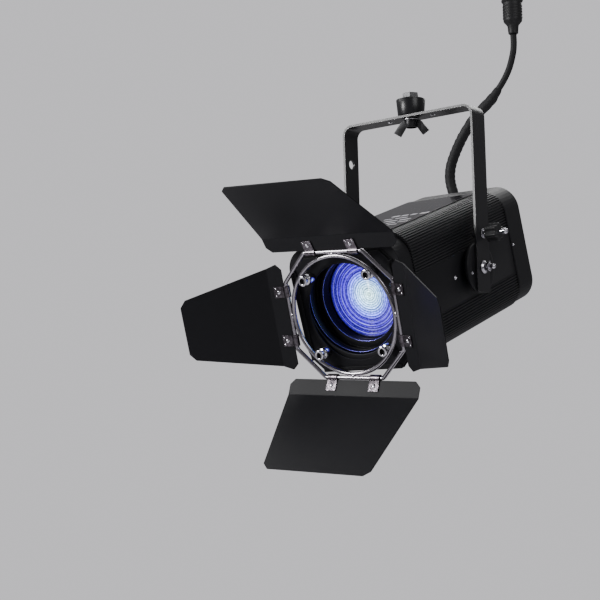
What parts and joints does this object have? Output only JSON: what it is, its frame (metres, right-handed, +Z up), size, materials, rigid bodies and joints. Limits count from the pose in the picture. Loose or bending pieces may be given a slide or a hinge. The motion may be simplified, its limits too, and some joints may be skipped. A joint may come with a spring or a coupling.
{
  "type": "fresnel spotlight",
  "caption": "Compact theatre fresnel spotlight: finned black head tilting in a yoke, stepped lens barrel and a rotating wire-framed barn door with folding leaves.",
  "frame": {"origin": "middle of the yoke bar's upper face, on the hanging bolt's axis", "axes": "+Z up, +X along the tilt axis to the side with the tilt lock, and the beam towards -Y, tipped down 18.3 degrees"},
  "size_m": [0.3841, 0.4972, 0.6482],
  "materials": {
    "body_metal": "fine satin black powder coat",
    "yoke_metal": "satin black powder coat",
    "leaf_metal": "matte black powder coat",
    "label_gloss": "glossy black plate",
    "chrome": "bright plated",
    "steel": "zinc plated",
    "sheet_black": "matte black sheet",
    "inner_black": "matte black anodised",
    "alloy": "plain alloy",
    "lens_glass": "pressed glass",
    "lamp": "yellow phosphor on white ceramic",
    "board": "green circuit board",
    "plastic": "black moulded plastic",
    "rubber": "black rubber",
    "window": "dark display window"
  },
  "bodies": {
    "hanger": {"hanging_bolt": "steel", "hanging_collar": "yoke_metal"},
    "wing_nut_body": {"wing_nut": "steel"},
    "yoke": {"yoke_bracket": "yoke_metal", "lead_connector": "plastic"},
    "tilt_lock": {"tilt_lock_knob": "plastic"},
    "head": {"upper_shell": "body_metal", "lower_shell": "body_metal", "side_rail_right": "body_metal", "side_rail_left": "body_metal", "label_plate": "label_gloss", "rear_cover": "body_metal", "rear_panel": "sheet_black", "display_window": "window", "data_in_socket": "plastic", "data_out_socket": "plastic", "lead_gland": "rubber", "safety_eye": "steel", "friction_disc_right": "plastic", "friction_disc_left": "plastic", "pivot_bolt_right": "chrome", "pivot_bolt_left": "chrome", "front_cover": "body_metal", "lens_barrel": "inner_black", "accessory_holder": "sheet_black", "barndoor_plate": "leaf_metal", "ring_post_1": "chrome", "ring_post_2": "chrome", "ring_post_3": "chrome", "ring_post_4": "chrome", "guide_rod_right": "steel", "guide_rod_left": "steel", "heat_sink": "alloy", "led_module": "lamp", "power_supply": "alloy", "control_board": "board", "fan_frame": "plastic", "mains_lead": "rubber"},
    "lens_slide": {"lens_carriage": "alloy", "fresnel_lens": "lens_glass", "zoom_knob": "plastic"},
    "fan": {"fan_rotor": "plastic"},
    "gel_holder": {"gel_frame": "sheet_black"},
    "ring": {"barndoor_ring": "chrome"},
    "key_menu": {"button_menu": "plastic"},
    "key_down": {"button_down": "plastic"},
    "key_up": {"button_up": "plastic"},
    "key_enter": {"button_enter": "plastic"},
    "leaf_top_body": {"leaf_top": "leaf_metal", "clip_top_1": "chrome", "clip_top_2": "chrome"},
    "leaf_left_body": {"leaf_left": "leaf_metal", "clip_left_1": "chrome", "clip_left_2": "chrome"},
    "leaf_bottom_body": {"leaf_bottom": "leaf_metal", "clip_bottom_1": "chrome", "clip_bottom_2": "chrome"},
    "leaf_right_body": {"leaf_right": "leaf_metal", "clip_right_1": "chrome", "clip_right_2": "chrome"}
  },
  "joints": [
    {"name": "pan", "type": "hinge", "parent": "hanger", "child": "yoke", "pos_m": [0, 0, 0], "axis": [0, 0, 1], "continuous": true},
    {"name": "wing_nut_turn", "type": "hinge", "parent": "hanger", "child": "wing_nut_body", "pos_m": [0, 0, -0.005], "axis": [0, 0, 1], "continuous": true},
    {"name": "tilt", "type": "hinge", "parent": "yoke", "child": "head", "pos_m": [0, 0, -0.205], "axis": [1, 0, 0], "range_deg": [-40, 42], "deforming": ["mains_lead"]},
    {"name": "tilt_lock_turn", "type": "hinge", "parent": "yoke", "child": "tilt_lock", "pos_m": [0.11, 0, -0.163], "axis": [1, 0, 0], "continuous": true},
    {"name": "zoom", "type": "slide", "parent": "head", "child": "lens_slide", "axis": [0, -0.9494, -0.314], "range_m": [-0.036, 0]},
    {"name": "gel_frame_lift", "type": "slide", "parent": "head", "child": "gel_holder", "axis": [0, -0.314, 0.9494], "range_m": [0, 0.06]},
    {"name": "fan_spin", "type": "hinge", "parent": "head", "child": "fan", "pos_m": [0.028, 0.12461, -0.19644], "axis": [0, -0.9494, -0.314], "continuous": true},
    {"name": "ring_turn", "type": "hinge", "parent": "head", "child": "ring", "pos_m": [0, -0.15936, -0.26455], "axis": [0, -0.9494, -0.314], "continuous": true},
    {"name": "press_menu", "type": "slide", "parent": "head", "child": "key_menu", "axis": [0, -0.9494, -0.314], "range_m": [0, 0.0015], "stiffness_N_per_m": 400},
    {"name": "press_down", "type": "slide", "parent": "head", "child": "key_down", "axis": [0, -0.9494, -0.314], "range_m": [0, 0.0015], "stiffness_N_per_m": 400},
    {"name": "press_up", "type": "slide", "parent": "head", "child": "key_up", "axis": [0, -0.9494, -0.314], "range_m": [0, 0.0015], "stiffness_N_per_m": 400},
    {"name": "press_enter", "type": "slide", "parent": "head", "child": "key_enter", "axis": [0, -0.9494, -0.314], "range_m": [0, 0.0015], "stiffness_N_per_m": 400},
    {"name": "leaf_top_fold", "type": "hinge", "parent": "ring", "child": "leaf_top_body", "pos_m": [0.00435, -0.18381, -0.19061], "axis": [0.9984, 0.0175, -0.053], "range_deg": [-21.5, 58.5]},
    {"name": "leaf_left_fold", "type": "hinge", "parent": "ring", "child": "leaf_left_body", "pos_m": [-0.07788, -0.16073, -0.26042], "axis": [0.0558, -0.3135, 0.9479], "range_deg": [-10, 70]},
    {"name": "leaf_bottom_fold", "type": "hinge", "parent": "ring", "child": "leaf_bottom_body", "pos_m": [-0.00435, -0.13491, -0.33849], "axis": [-0.9984, -0.0175, 0.053], "range_deg": [-34, 46]},
    {"name": "leaf_right_fold", "type": "hinge", "parent": "ring", "child": "leaf_right_body", "pos_m": [0.07788, -0.15799, -0.26868], "axis": [-0.0558, 0.3135, -0.9479], "range_deg": [-16, 64]}
  ]
}
